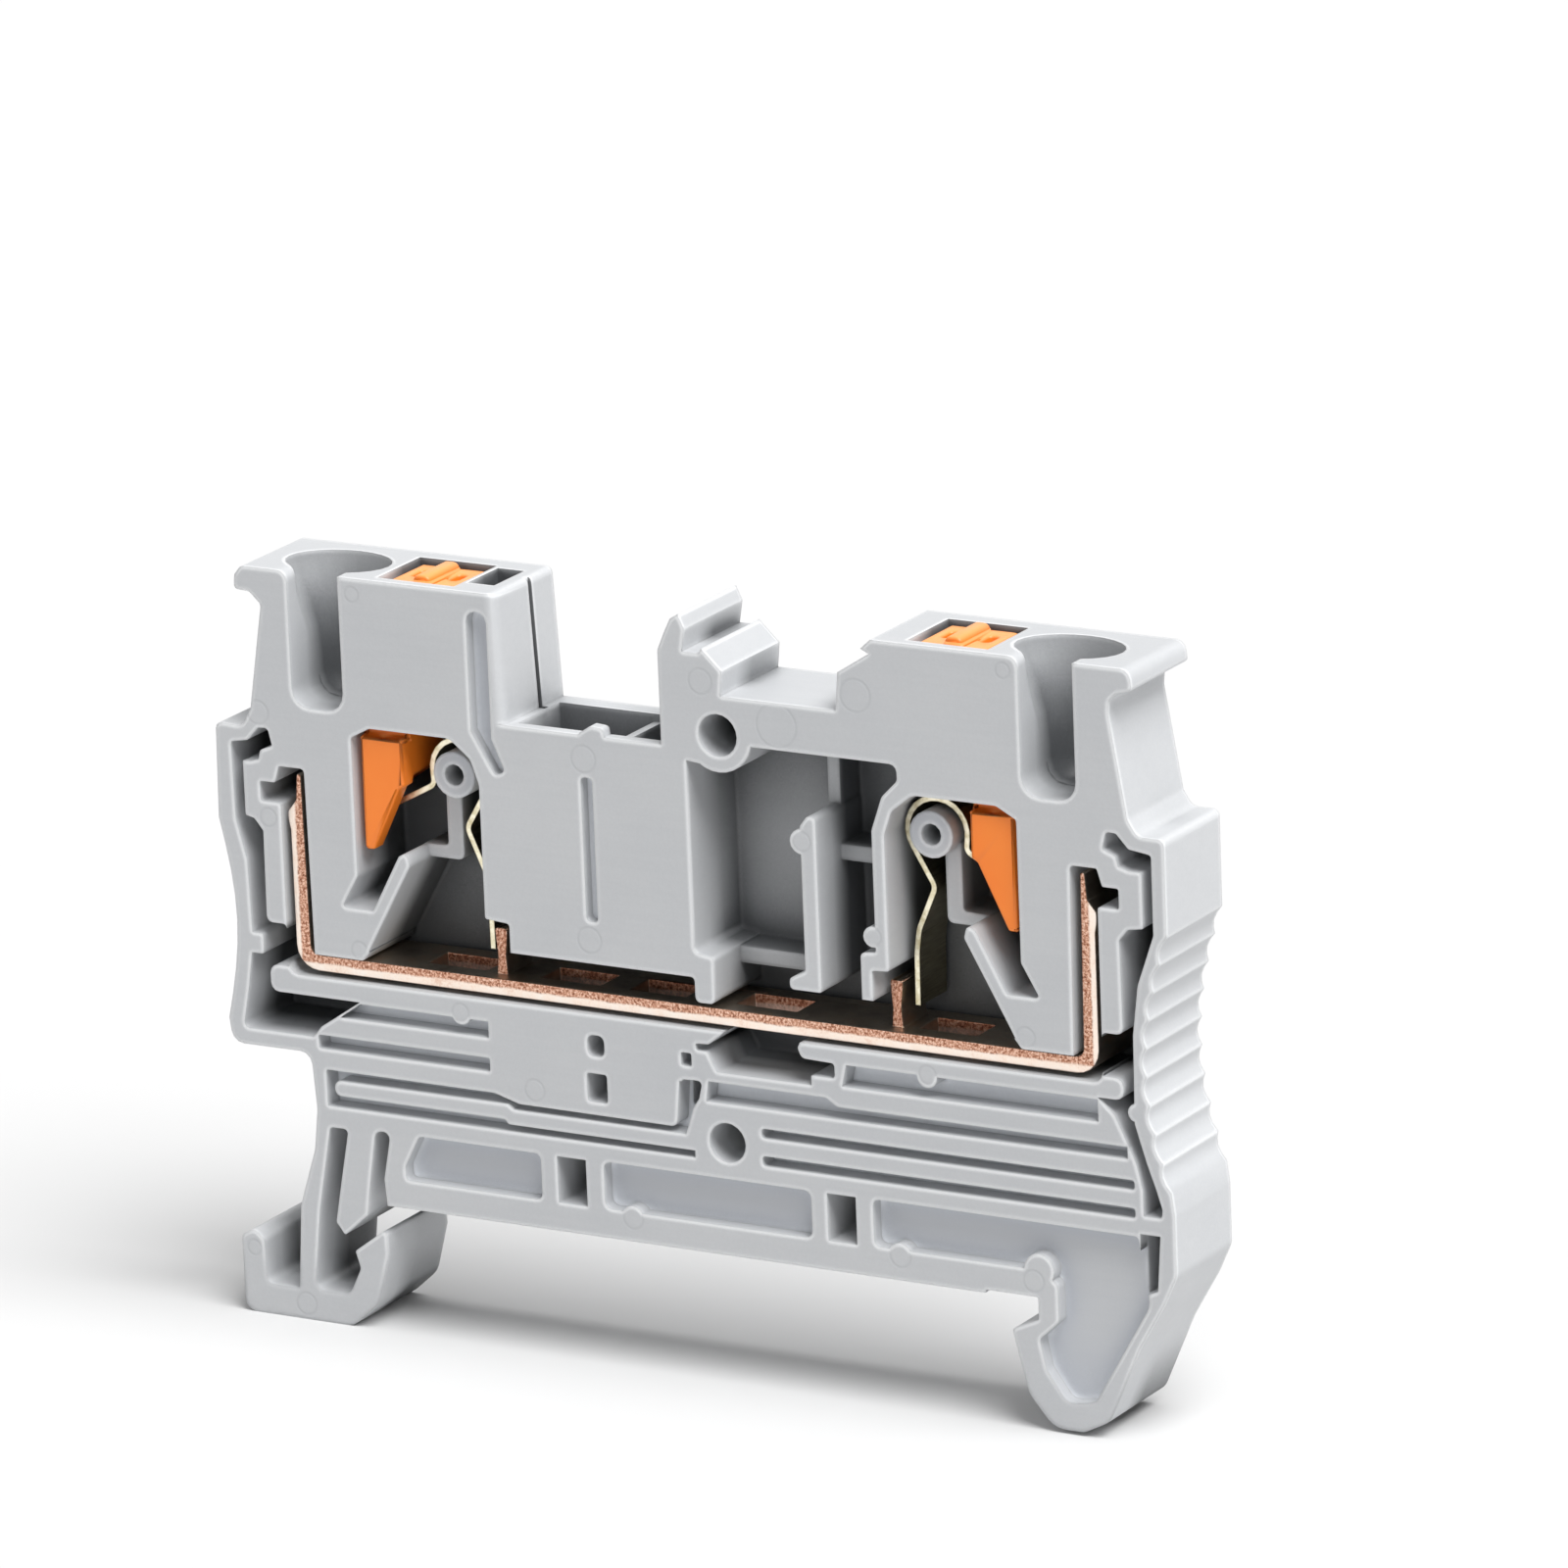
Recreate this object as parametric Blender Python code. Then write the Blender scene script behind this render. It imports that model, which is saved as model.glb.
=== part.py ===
"""Push-in terminal block for a mounting rail: moulded housing, current bar, two clamp springs, two pushers.

Frame: X along the block, Y across it (open side at -Y), Z up, origin on the rail seat.
Lengths below are in millimetres and become metres when a mesh is made.
"""
import math

import bmesh
import bpy
from mathutils import Vector

MM = 0.001

# Housing
LENGTH = 48.5
HALF = LENGTH / 2
WIDTH = 5.2
BACK_WALL = 1.0
TOP = 29.45
SHOULDER = 21.9
TOWER_TOP = 29.4
FOOT_LEFT = -6.04
FOOT_RIGHT = -5.85
SEAT_STEP = 0.15
FLANK_TOP = 17.5
FLANK_LEFT_END = 8.0
FLANK_LEFT_DIP = 0.7
FLANK_RIGHT_END = 5.4
FLANK_RIGHT_DIP = 1.2
GRIP_PITCH = 1.3
GRIP_DEPTH = 0.22
GRIP_COUNT = 9
NOTCH_LEFT = -8.9
NOTCH_RIGHT = -0.8
NOTCH_FLOOR = 23.46
MARKER_FLOOR = 26.0

# Depths from the open side
WINDOW_DEPTH = 0.7
GROOVE_DEPTH = 1.0
FACE_GROOVE_DEPTH = 0.6
DOWEL_DEPTH = 3.2
POST_RECESS = 0.93
STEM_RECESS = 1.8
SHELF_RECESS = 2.4
NOTCH_WALL = 0.6
TOWER_EDGE_R = 0.45
TROUGH_DEPTH = 3.8
DOWEL = (2.1, 24.2)
DOWEL_R = 0.98
DOWEL_BOSS_R = 1.7
NUB_DEPTH = 0.2

# Clamp spring and the post it loops round, as distances from the middle
STRIP_T = 0.25
STRIP_WIDTH = 2.4
STRIP_RECESS = 1.5
LOOP_R = 1.5
KINK = (12.0, 17.95)
SPRING_FOOT = (10.92, 12.4)
LEG_END = (16.4, 18.3)
POST_X = 12.2
POST_Z = 20.54
POST_R = 1.08
POST_HOLE_R = 0.5
STEM_X = 12.8
STEM_WIDTH = 0.8

# Clamp chamber, as distances from the middle
LOOP_GAP = 0.225
LOOP_REACH = LOOP_R + STRIP_T / 2 + LOOP_GAP
CHAMBER_IN = POST_X - LOOP_REACH
CHAMBER_OUT = 17.0
CHAMBER_TOP = POST_Z + LOOP_REACH + 0.14
CHAMBER_FLOOR = 13.95
BLOCK_BOTTOM = 12.85

# Current bar
BAR_T = 0.78
BAR_FLOOR = 10.68
BAR_OUT = 20.6
BAR_TOP = 19.9
BAR_WIDTH = 3.6
BAR_BEND = 1.15
BAR_GAP = 0.3
BAR_NECK = 17.7
BAR_NECK_STEP = 0.35
BAR_BULGE = 0.1
TAB_X = 10.15
TAB_T = 0.65
TAB_TOP = 13.6
TAB_WIDTH = 2.2
TAB_NECK = 12.3
TAB_NECK_T = 0.45
WINDOW_WIDTH = 1.7
BAR_WINDOWS = ((-14.2, -11.1), (-8.3, -5.2), (-3.7, -0.8), (1.8, 4.9), (11.1, 14.0))

# Pusher
PUSH_IN = 14.5
PUSH_OUT = 16.7
PUSH_TIP = 16.75
PUSH_FACE_TOP = 22.05
HEAD_IN = 11.85
HEAD_OUT = 15.25
HEAD_TOP = 29.25
TRAVEL = 2.3
CHEEK_RECESS = 0.3
CHANNEL_WALL = 0.6
PUSH_GAP = 0.3
RIDGE_WIDTH = 0.9
RIDGE_RISE = 0.38
RIDGE_FRONT = -1.55
RIDGE_BACK = 1.15
PIT_IN = 0.75
PIT_OUT = 1.2
PIT_HALF_DEPTH = 0.5
PIT_FLOOR = 28.5

# Wire entry
WIRE_IN = 17.3
WIRE_OUT = 20.0
WIRE_FLOOR = 23.1
WIRE_LIP_R = 0.5
FUNNEL_MIDDLE = -0.25
FUNNEL_RINGS = (
    (TOP + 1.0, 2.6, 1.85), (TOP - 0.4, 2.6, 1.85), (TOP - 1.1, 2.3, 1.82), (TOP - 2.0, 1.9, 1.75),
    (TOP - 3.2, 1.55, 1.7), (TOP - 4.4, 1.4, 1.66), (24.2, 1.38, 1.6), (23.6, 1.2, 1.4), (23.25, 0.85, 1.05),
    (WIRE_FLOOR + 0.03, 0.3, 0.5),
)

# Derived planes
FRONT = -WIDTH / 2
BACK = WIDTH / 2
FLOOR = BACK - BACK_WALL
BAR_FRONT = FRONT + 0.25
STRIP_FRONT = FRONT + STRIP_RECESS
BEYOND = 1.0


def reset():
    for item in list(bpy.data.objects):
        bpy.data.objects.remove(item, do_unlink=True)


def plastic(name, colour, roughness, metallic=0.0):
    """A Principled material."""
    mat = bpy.data.materials.new(name)
    mat.use_nodes = True
    shader = mat.node_tree.nodes["Principled BSDF"]
    shader.inputs["Base Color"].default_value = (*colour, 1.0)
    shader.inputs["Roughness"].default_value = roughness
    shader.inputs["Metallic"].default_value = metallic
    return mat


def rounded(points, steps=3):
    """Outline with its corners turned into arcs; a point is (x, z) or (x, z, radius)."""
    out = []
    count = len(points)
    for i, point in enumerate(points):
        here = Vector(point[:2])
        if len(point) < 3:
            out.append(here)
            continue
        before = Vector(points[i - 1][:2]) - here
        after = Vector(points[(i + 1) % count][:2]) - here
        half = before.angle(after, 0.0) / 2
        if not 0.02 < half < 1.55:
            out.append(here)
            continue
        reach = min(point[2] / math.tan(half), 0.48 * before.length, 0.48 * after.length)
        radius = reach * math.tan(half)
        middle = here + (before.normalized() + after.normalized()).normalized() * radius / math.sin(half)
        start = here + before.normalized() * reach - middle
        end = here + after.normalized() * reach - middle
        turn = start.angle_signed(end)
        for k in range(steps + 1):
            angle = -turn * k / steps
            cos, sin = math.cos(angle), math.sin(angle)
            out.append(middle + Vector((start.x * cos - start.y * sin, start.x * sin + start.y * cos)))
    return out


def circle(x, z, radius, count=20):
    angles = [2 * math.pi * k / count for k in range(count)]
    return [Vector((x + radius * math.cos(a), z + radius * math.sin(a))) for a in angles]


def box(x0, x1, z0, z1, radius=0.0):
    corners = [(x0, z0), (x1, z0), (x1, z1), (x0, z1)]
    if radius:
        corners = [(x, z, radius) for x, z in corners]
    return rounded(corners)


def side(outline, sign):
    """The same outline on the left (-1) or the right (+1) of the middle."""
    return [Vector((sign * p[0], p[1])) for p in outline]


def prism(bm, outline, y0, y1):
    """Outline in XZ, drawn out along Y, with its faces pointing out."""
    area = sum(a[0] * b[1] - b[0] * a[1] for a, b in zip(outline, outline[1:] + outline[:1]))
    loop = list(outline) if area > 0 else list(reversed(outline))
    near = [bm.verts.new((p[0] * MM, y0 * MM, p[1] * MM)) for p in loop]
    far = [bm.verts.new((p[0] * MM, y1 * MM, p[1] * MM)) for p in loop]
    bm.faces.new(near)
    bm.faces.new(list(reversed(far)))
    for i in range(len(loop)):
        j = (i + 1) % len(loop)
        bm.faces.new((near[j], near[i], far[i], far[j]))


def loft(bm, rings):
    """Closed body through rings of 3-D points, all rings with the same number of points."""
    made = [[bm.verts.new((x * MM, y * MM, z * MM)) for x, y, z in ring] for ring in rings]
    count = len(rings[0])
    for upper, lower in zip(made, made[1:]):
        for k in range(count):
            j = (k + 1) % count
            bm.faces.new((upper[k], lower[k], lower[j], upper[j]))
    bm.faces.new(made[0])
    bm.faces.new(list(reversed(made[-1])))
    bmesh.ops.triangulate(bm, faces=bm.faces)
    bmesh.ops.recalc_face_normals(bm, faces=bm.faces)


def block(bm, x0, x1, y0, y1, z0, z1):
    prism(bm, box(x0, x1, z0, z1), y0, y1)


def solid(name, draw, material=None):
    """An object whose mesh is drawn by a function."""
    bm = bmesh.new()
    draw(bm)
    mesh = bpy.data.meshes.new(name)
    bm.to_mesh(mesh)
    bm.free()
    item = bpy.data.objects.new(name, mesh)
    bpy.context.scene.collection.objects.link(item)
    if material:
        mesh.materials.append(material)
    return item


def guide(name, draw):
    """A solid that only cuts or adds to another."""
    item = solid(name, draw)
    item.hide_render = True
    item.display_type = "WIRE"
    item.hide_set(True)
    return item


def combine(target, other, operation, overlapping=False):
    mod = target.modifiers.new(other.name, "BOOLEAN")
    mod.operation = operation
    mod.object = other
    mod.solver = "EXACT"
    mod.use_self = overlapping


def pocket(name, target, outlines, depth):
    """Cuts outlines into the open side, down to a depth."""
    def draw(bm):
        for outline in outlines:
            prism(bm, outline, FRONT - BEYOND, FRONT + depth)
    combine(target, guide(name, draw), "DIFFERENCE", True)


def flank(z_end, dip, sign, steps):
    """End face: the shallow inward curve between the shoulder and the foot."""
    out = []
    for k in range(steps + 1):
        t = k / steps
        out.append((sign * (HALF - dip * math.sin(math.pi * t)), FLANK_TOP + (z_end - FLANK_TOP) * t))
    return out


def grip():
    """Right end face: the same curve with its row of finger ridges."""
    out = []
    for k in range(GRIP_COUNT * 4 + 1):
        z = FLANK_TOP - k * GRIP_PITCH / 4
        t = (FLANK_TOP - z) / (FLANK_TOP - FLANK_RIGHT_END)
        ridge = GRIP_DEPTH * abs(math.sin(math.pi * k / 4))
        out.append((HALF - FLANK_RIGHT_DIP * math.sin(math.pi * min(t, 1)) - ridge, z))
    return out


def profile():
    """Whole outline of the housing, from the left lip round over the top and back along the rail seat."""
    top = [
        (-22.0, 28.3, 0.3), (-22.8, 28.35, 0.2), (-22.75, 29.0, 0.2), (-22.4, TOP, 0.3),
        (NOTCH_LEFT - 0.3, TOP, 0.3), (NOTCH_LEFT, NOTCH_FLOOR),
        (NOTCH_RIGHT, NOTCH_FLOOR), (NOTCH_RIGHT, 27.8, 0.4), (-0.45, 28.6), (-0.1, 29.3), (0.3, TOP + 0.1),
        (0.6, 28.9), (0.42, 27.85), (1.3, 27.85), (1.42, 28.1), (2.42, 27.15), (2.3, MARKER_FLOOR),
        (8.15, MARKER_FLOOR), (8.3, 27.75), (9.9, 28.75), (9.5, 28.95), (10.0, TOWER_TOP),
        (22.8, TOWER_TOP, 0.5), (22.9, 28.45, 0.2), (22.15, 28.27), (21.75, 27.9), (21.7, 27.3, 0.5),
        (22.5, 22.6, 0.5), (22.95, SHOULDER, 0.5), (HALF, SHOULDER, 0.3),
    ]
    right = grip() + [
        (HALF, 4.8, 1.0), (HALF, 2.0, 1.0), (23.6, 0.6, 1.5), (22.3, -1.6, 4.0), (20.7, -5.2, 0.8),
        (19.4, FOOT_RIGHT, 0.8), (17.9, FOOT_RIGHT, 1.2), (16.7, -4.4, 1.0), (15.95, -1.5, 0.15),
        (17.3, -0.9, 0.1), (17.3, SEAT_STEP, 0.1), (14.7, SEAT_STEP), (14.65, 0.0),
    ]
    latch = [
        (-16.25, 0.0), (-16.35, 1.27), (-15.9, 3.53, 0.4), (-16.72, 3.53, 0.4), (-17.16, 0.8, 1.0),
        (-17.35, -0.6, 0.1), (-18.6, -1.7, 0.1), (-19.04, -1.13, 0.2), (-18.65, 0.9), (-18.15, 3.4, 0.2),
        (-19.13, 3.4, 0.2), (-19.9, -0.65), (-20.35, -4.55, 0.4), (-18.5, -4.55, 0.6), (-17.84, -3.2, 0.4),
        (-18.1, -2.4, 0.15), (-16.4, -1.15, 0.15), (-16.35, -2.4), (-17.0, -4.8, 1.2),
        (-18.4, FOOT_LEFT, 0.9),
        (-24.18, FOOT_LEFT, 0.6), (-24.18, -2.4, 0.3), (-23.5, -2.05, 0.35), (-23.0, -2.5, 0.3),
        (-22.95, -4.6, 0.35), (-21.2, -4.6, 0.15), (-20.9, -0.56), (-20.0, 2.2, 2.0),
        (-19.76, 4.15, 2.0), (-19.95, 6.84, 0.6), (-24.1, 6.82, 0.9),
    ]
    left = list(reversed(flank(FLANK_LEFT_END, FLANK_LEFT_DIP, -1, 8))) + [
        (-HALF + 0.1, 22.0, 0.3), (-22.75, SHOULDER, 0.5), (-22.25, 22.8, 0.5), (-21.42, 27.75, 0.3),
    ]
    return rounded(top + right + latch + left)


def mechanism(inner_low):
    """Clamp chamber and the space under its V arm, as one outline; inner_low starts it by the tab."""
    return rounded(inner_low + [
        (CHAMBER_IN, POST_Z, 1.0), (POST_X - 0.78 * LOOP_REACH, POST_Z + 0.62 * LOOP_REACH, 0.6),
        (POST_X - 0.2 * LOOP_REACH, CHAMBER_TOP, 0.6), (16.0, CHAMBER_TOP, 0.3),
        (CHAMBER_OUT, 22.0, 0.2), (CHAMBER_OUT, 15.5, 0.3), (17.85, 14.05, 0.12), (17.65, CHAMBER_FLOOR, 0.1),
        (16.25, CHAMBER_FLOOR, 0.15), (14.75, 16.7, 0.2), (14.35, 16.9, 0.2), (14.2, 16.3, 0.2),
        (16.05, 13.0), (16.6, 12.0),
    ])


def cut_mechanism(housing):
    """The deep pockets that open to the front: chambers, current bar channel, guides, middle pocket."""
    bar_in = BAR_OUT - BAR_T - BAR_GAP - 0.05
    bar_out = BAR_OUT + BAR_GAP
    shelf = BAR_FLOOR - 0.22
    left_low = [(9.1, 12.0), (9.1, 14.2, 0.15), (CHAMBER_IN, 14.3, 0.1)]
    right_low = [(9.5, 12.0), (9.5, 14.25, 0.1), (CHAMBER_IN, 14.3, 0.1)]
    passage = rounded([
        (-bar_out, shelf, 1.3), (bar_out, shelf, 1.3), (bar_out, 11.55), (16.9, 11.55, 0.2), (16.5, 12.05),
        (16.05, BLOCK_BOTTOM), (8.95, BLOCK_BOTTOM), (8.95, 12.95), (1.42, 12.95), (1.42, 11.7, 0.25),
        (0.42, 11.7, 0.25), (0.42, BLOCK_BOTTOM, 0.2), (-16.05, BLOCK_BOTTOM), (-16.5, 12.05),
        (-16.9, 11.55, 0.2), (-bar_out, 11.55),
    ])
    upright = rounded([
        (bar_in, 11.5), (bar_out, 11.5), (bar_out, 18.5, 0.1), (21.95, 18.5, 0.1), (21.95, 19.45, 0.1),
        (21.15, 19.45, 0.1), (bar_out, 20.25, 0.1), (bar_in + 0.1, 20.25, 0.2),
    ])
    middle = rounded([
        (1.42, 12.9), (1.42, 13.85, 0.1), (0.45, 14.0, 0.3), (0.45, 23.85, 0.1), (11.1, 23.85, 0.5),
        (11.1, 23.1, 0.3), (10.3, 22.3, 0.6), (9.73, 20.7, 0.6), (9.73, 15.1, 0.1), (8.95, 15.0, 0.2),
        (8.95, 12.9),
    ])
    hook = [
        (22.45, 20.3, 0.1), (21.95, 20.45), (21.85, 20.9, 0.15), (21.2, 21.15, 0.1), (21.4, 21.97, 0.2),
        (21.9, 21.95, 0.2), (22.5, 21.3, 0.2),
    ]
    guide_left = rounded([
        (20.9, 10.8), (20.9, 12.8, 0.2), (21.95, 12.8, 0.3), (21.9, 17.1), (22.35, 17.65, 0.2),
        (22.8, 17.75, 0.1), (22.8, 20.3),
    ] + hook + [
        (23.4, 21.15, 0.15), (23.35, FLANK_TOP, 0.5), (22.85, 15.6, 1.0), (22.77, 12.2), (22.2, 12.2, 0.1),
        (22.2, 11.25, 0.1), (22.85, 11.25), (23.1, 9.6, 0.5), (23.5, 7.6, 0.25), (19.75, 7.6, 0.1),
        (19.3, 8.15), (18.46, 8.7), (17.2, 9.54), (21.9, 9.54, 0.4), (21.9, 10.8, 0.4),
    ])
    guide_right = rounded([
        (20.9, 10.8), (20.9, 12.8, 0.2), (21.95, 12.8, 0.3), (21.9, 17.1), (22.35, 17.65, 0.2),
        (23.1, 17.75, 0.1), (23.1, 20.3, 0.1),
    ] + hook + [
        (23.6, 21.15, 0.15), (23.6, FLANK_TOP, 0.5), (22.75, 15.15, 1.0), (22.45, 12.85, 1.0), (22.4, 8.8),
        (22.96, 7.0), (23.37, 5.9), (23.65, 5.0), (23.6, 4.6, 0.15), (22.7, 4.6), (22.7, 5.8), (22.4, 7.0),
        (21.4, 9.1, 0.5), (20.6, 9.8), (21.9, 9.8, 0.4), (21.9, 10.8, 0.4),
    ])
    outlines = [side(mechanism(left_low), -1), mechanism(right_low), passage, side(upright, -1), upright,
                middle, side(guide_left, -1), guide_right]
    for number, outline in enumerate(outlines):
        pocket("pocket_%d" % number, housing, [outline], WIDTH - BACK_WALL)
    trough = rounded([
        (1.92, 10.9), (1.92, 10.55, 0.2), (1.0, 9.8, 0.2), (0.3, 9.77, 0.1), (0.35, 9.45, 0.1),
        (0.9, 9.45, 0.1), (1.35, 8.55, 0.1), (6.2, 8.55), (6.2, 9.0), (7.4, 9.0, 0.15), (7.4, 9.7, 0.15),
        (5.75, 9.75, 0.3), (5.55, 10.2, 0.2), (5.75, 10.6, 0.2), (5.9, 10.9),
    ])
    pocket("trough", housing, [trough], TROUGH_DEPTH)


def wire_slot(left, right, top):
    """Slot in the open side; at the top its left corner is rounded off."""
    lip = []
    for k in range(5):
        angle = math.radians(90 - 22.5 * k)
        lip.append((left - WIRE_LIP_R * (1 - math.cos(angle)), top - WIRE_LIP_R * (1 - math.sin(angle))))
    return rounded([(right, top + BEYOND), (left - WIRE_LIP_R, top + BEYOND)] + lip
                   + [(left, WIRE_FLOOR, 0.9), (right, WIRE_FLOOR, 0.9)], 4)


def cut_wire_entries(housing):
    """Slot and smooth oval funnel for each wire."""
    slots = [wire_slot(WIRE_IN, WIRE_OUT, TOWER_TOP), wire_slot(-WIRE_OUT, -WIRE_IN, TOP)]
    pocket("wire_slots", housing, slots, FUNNEL_MIDDLE - FRONT)
    middle = (WIRE_IN + WIRE_OUT) / 2
    angles = [2 * math.pi * k / 24 for k in range(24)]
    for name, sign in (("funnel_left", -1), ("funnel_right", 1)):
        rings = [[(sign * middle + wide * math.cos(a), FUNNEL_MIDDLE + deep * math.sin(a), z) for a in angles]
                 for z, wide, deep in FUNNEL_RINGS]
        combine(housing, guide(name, lambda bm: loft(bm, rings)), "DIFFERENCE")


def pusher_outline(grow, drop):
    """Pusher body between the head and the chamber, grown all round and let down by its travel."""
    return rounded([
        (HEAD_IN - grow, HEAD_TOP + BEYOND), (HEAD_IN - grow, 26.6 - drop), (PUSH_IN - grow, 23.4 - drop),
        (PUSH_IN - grow, 20.3), (PUSH_OUT + grow, 18.8), (PUSH_OUT + grow, 25.6 + grow),
        (HEAD_OUT + grow, 27.2 + grow), (HEAD_OUT + grow, HEAD_TOP + BEYOND),
    ])


def cut_channels(housing):
    """Pusher channels down through the towers, bridge shafts, and the small test hole."""
    outline = pusher_outline(PUSH_GAP, TRAVEL + PUSH_GAP)

    def draw(bm):
        for sign in (-1, 1):
            prism(bm, side(outline, sign), FRONT + CHANNEL_WALL, FLOOR + 0.1)
    combine(housing, guide("channels", draw), "DIFFERENCE")

    def mouths(bm):
        block(bm, NOTCH_LEFT + 0.4, NOTCH_RIGHT - 0.2, FRONT + NOTCH_WALL, FLOOR, 21.6, NOTCH_FLOOR + BEYOND)
        block(bm, -11.3, -9.95, FRONT + 1.4, FLOOR - 0.2, 24.0, TOP + BEYOND)
        block(bm, NOTCH_LEFT - 0.45, NOTCH_LEFT + 0.3, 0.45, 0.75, NOTCH_FLOOR - 0.3, TOP + BEYOND)

    def shafts(bm):
        block(bm, -8.3, -5.2, FRONT + 0.85, FLOOR - 0.3, 12.0, 22.1)
        block(bm, -4.0, -1.2, FRONT + 0.85, FLOOR - 0.3, 12.0, 22.1)
    def edge(bm):
        """What the round front edge of the left tower leaves out, leaning with the tower's side."""
        rings = []
        for z, x in ((NOTCH_FLOOR, NOTCH_LEFT), (TOP, NOTCH_LEFT - 0.3), (TOP + BEYOND, NOTCH_LEFT - 0.35)):
            ring = [(x + 0.3, FRONT - 0.3, z), (x + 0.3, FRONT + TOWER_EDGE_R, z)]
            for k in range(5):
                angle = math.radians(22.5 * k)
                ring.append((x - TOWER_EDGE_R * (1 - math.cos(angle)),
                             FRONT + TOWER_EDGE_R * (1 - math.sin(angle)), z))
            ring.append((x - TOWER_EDGE_R, FRONT - 0.3, z))
            rings.append(ring)
        loft(bm, rings)
    combine(housing, guide("mouths", mouths), "DIFFERENCE")
    combine(housing, guide("shafts", shafts), "DIFFERENCE")
    combine(housing, guide("tower_edge", edge), "DIFFERENCE")


def cut_face(housing):
    """Shallow grooves and windows of the open side."""
    grooves = [
        rounded([(-18.3, 8.69), (-10.45, 8.69), (-10.45, 9.46), (-17.2, 9.46)]),
        box(-19.5, -10.45, 7.1, 7.75, 0.1),
        rounded([(-19.18, 4.4), (0.08, 4.4), (0.08, 4.73), (-9.6, 4.73), (-9.8, 4.95), (-18.75, 4.95, 0.3),
                 (-18.75, 5.65, 0.3), (-9.6, 5.68), (-9.3, 5.45), (-0.35, 5.45), (0.5, 7.9), (-0.6, 7.9),
                 (-0.8, 5.74, 0.3), (-9.0, 5.76), (-10.3, 6.13), (-19.18, 6.13, 0.1)]),
        rounded([(0.75, 7.12), (6.9, 7.12), (22.0, 7.15), (22.0, 7.7), (7.5, 7.7), (6.9, 8.07), (0.9, 8.07)]),
        rounded([(7.75, 8.68), (20.6, 8.68), (20.6, 9.7), (8.0, 9.7)]),
        box(3.54, 22.3, 5.75, 6.2, 0.15),
        box(3.54, 22.3, 4.45, 4.92, 0.15),
    ]
    pocket("grooves", housing, grooves, GROOVE_DEPTH)
    windows = [
        rounded([(-15.2, 1.35, 0.2), (-8.0, 1.35, 0.3), (-8.0, 3.54, 0.3), (-14.4, 3.54, 0.3),
                 (-15.2, 2.0, 0.3)]),
        box(-4.73, 5.96, 1.38, 3.6, 0.35),
        rounded([(9.1, 1.42, 0.3), (17.6, 1.42, 0.6), (18.3, 0.8, 0.3), (18.3, -0.9, 0.3), (17.3, -1.8, 0.3),
                 (17.6, -3.2, 0.5), (18.6, -4.6, 0.6), (20.0, -4.4, 0.6), (21.2, -2.4), (22.9, 0.5, 1.0),
                 (22.4, 3.63, 0.2), (9.1, 3.63, 0.3)]),
    ]
    pocket("windows", housing, windows, WINDOW_DEPTH)
    narrow = [
        rounded([(-10.65, 28.58, 0.5), (-9.6, 28.58, 0.5), (-9.6, 22.75), (-8.95, 21.3, 0.2),
                 (-9.5, 21.05, 0.2), (-10.65, 23.0)]),
        rounded([(-5.05, 14.8, 0.2), (-4.45, 14.8, 0.2), (-4.45, 21.5, 0.2), (-5.05, 21.5, 0.2)]),
    ]
    pocket("face_grooves", housing, narrow, FACE_GROOVE_DEPTH)
    deep = [
        rounded([(-0.46, 8.0, 0.1), (0.6, 8.04, 0.2), (0.4, 7.2), (-0.1, 6.46, 0.1), (-0.5, 6.6, 0.1)]),
        box(-5.3, -4.42, 8.5, 9.5, 0.3),
        box(-5.4, -4.35, 6.35, 7.7, 0.15),
        box(-0.46, 0.08, 8.65, 9.27, 0.1),
        rounded([(22.5, 0.85), (23.3, 1.2), (23.5, 3.77), (22.5, 3.77)]),
    ]
    pocket("deep_holes", housing, deep, WIDTH - BACK_WALL - 0.2)
    pocket("dowel_hole", housing, [circle(*DOWEL, DOWEL_R)], DOWEL_DEPTH)
    through = [circle(1.77, 5.3, 0.93), box(-7.15, -5.65, 1.35, 3.54), box(6.77, 8.23, 1.38, 3.6)]
    pocket("through_holes", housing, through, WIDTH + BEYOND)


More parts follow.
